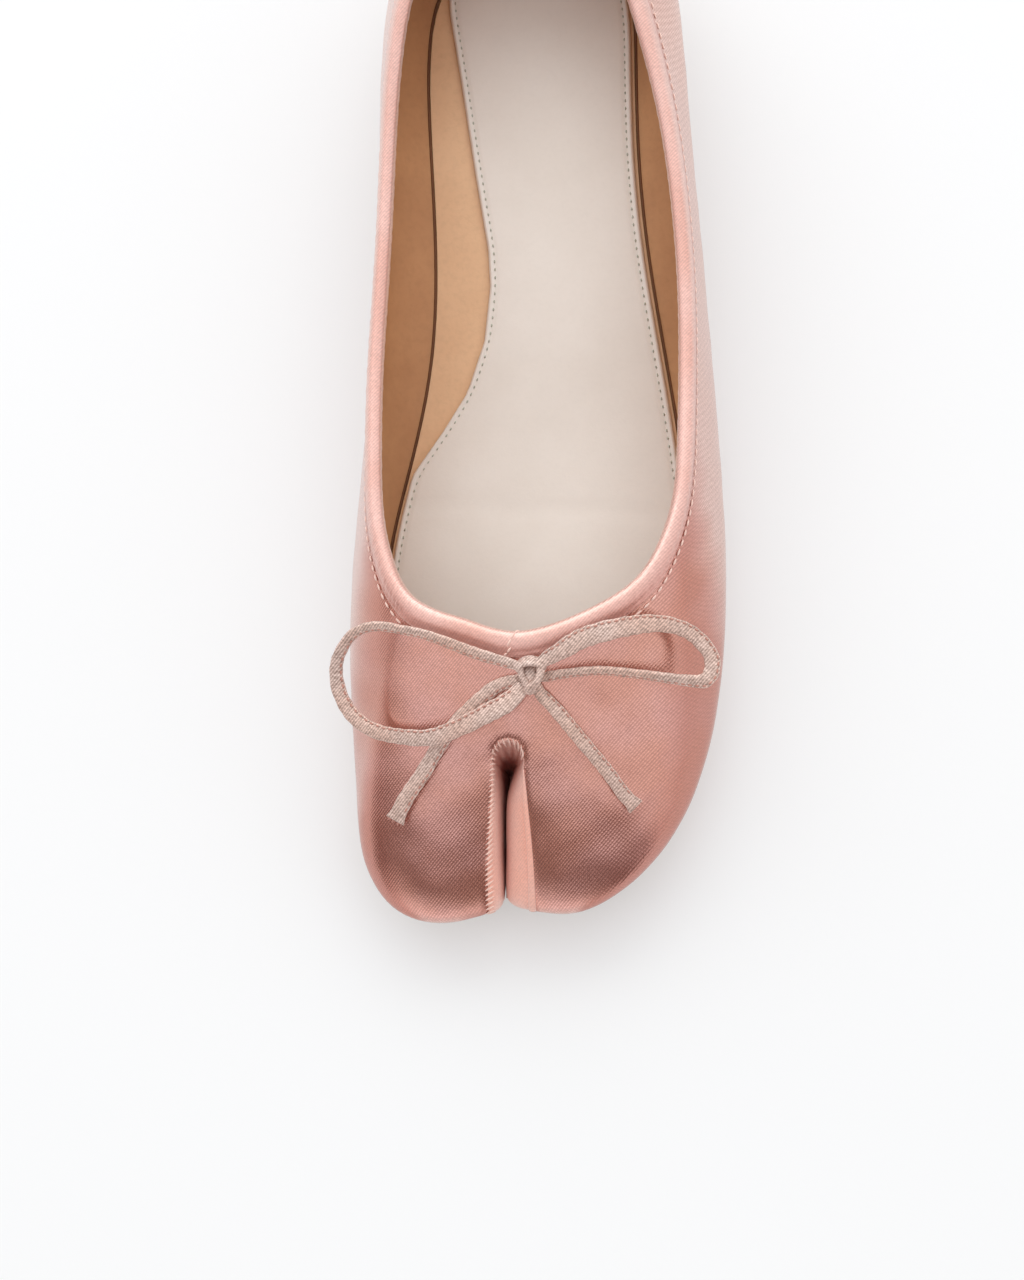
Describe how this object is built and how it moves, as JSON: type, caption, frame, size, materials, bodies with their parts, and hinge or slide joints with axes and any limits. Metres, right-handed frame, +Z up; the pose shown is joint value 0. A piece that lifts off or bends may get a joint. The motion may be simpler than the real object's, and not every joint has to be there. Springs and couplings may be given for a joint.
{
  "type": "tabi ballet flat",
  "caption": "Split-toe satin ballet flat with a padded binding round its collar, a ribbon bow at the throat and a low heel block.",
  "frame": {"origin": "middle of the shoe's outline, without the bow, on the floor that it stands on", "axes": "toe along -Y, heel along +Y, +X to the outer side of this left shoe, +Z up"},
  "size_m": [0.0894, 0.2473, 0.0553],
  "materials": {
    "pink_satin": "rose pink satin, fine twill, soft sheen",
    "pink_binding": "rose pink satin over a soft filling, bright along the roll",
    "pink_ribbon": "rose pink folded satin with edge stitching",
    "tan_leather": "smooth tan lining leather, satin",
    "cream_leather": "smooth cream leather, slightly glossy",
    "sole_leather": "thin sole leather, matte, brown",
    "heel_leather": "stacked heel leather, matte"
  },
  "bodies": {
    "root": {"upper": "pink_satin", "topline_binding": "pink_binding", "outsole": "sole_leather", "heel": "heel_leather", "insole": "tan_leather", "sock": "cream_leather", "bow_knot": "pink_ribbon", "bow_loop_medial": "pink_ribbon", "bow_loop_lateral": "pink_ribbon", "bow_tail_medial": "pink_ribbon", "bow_tail_lateral": "pink_ribbon"}
  },
  "joints": []
}
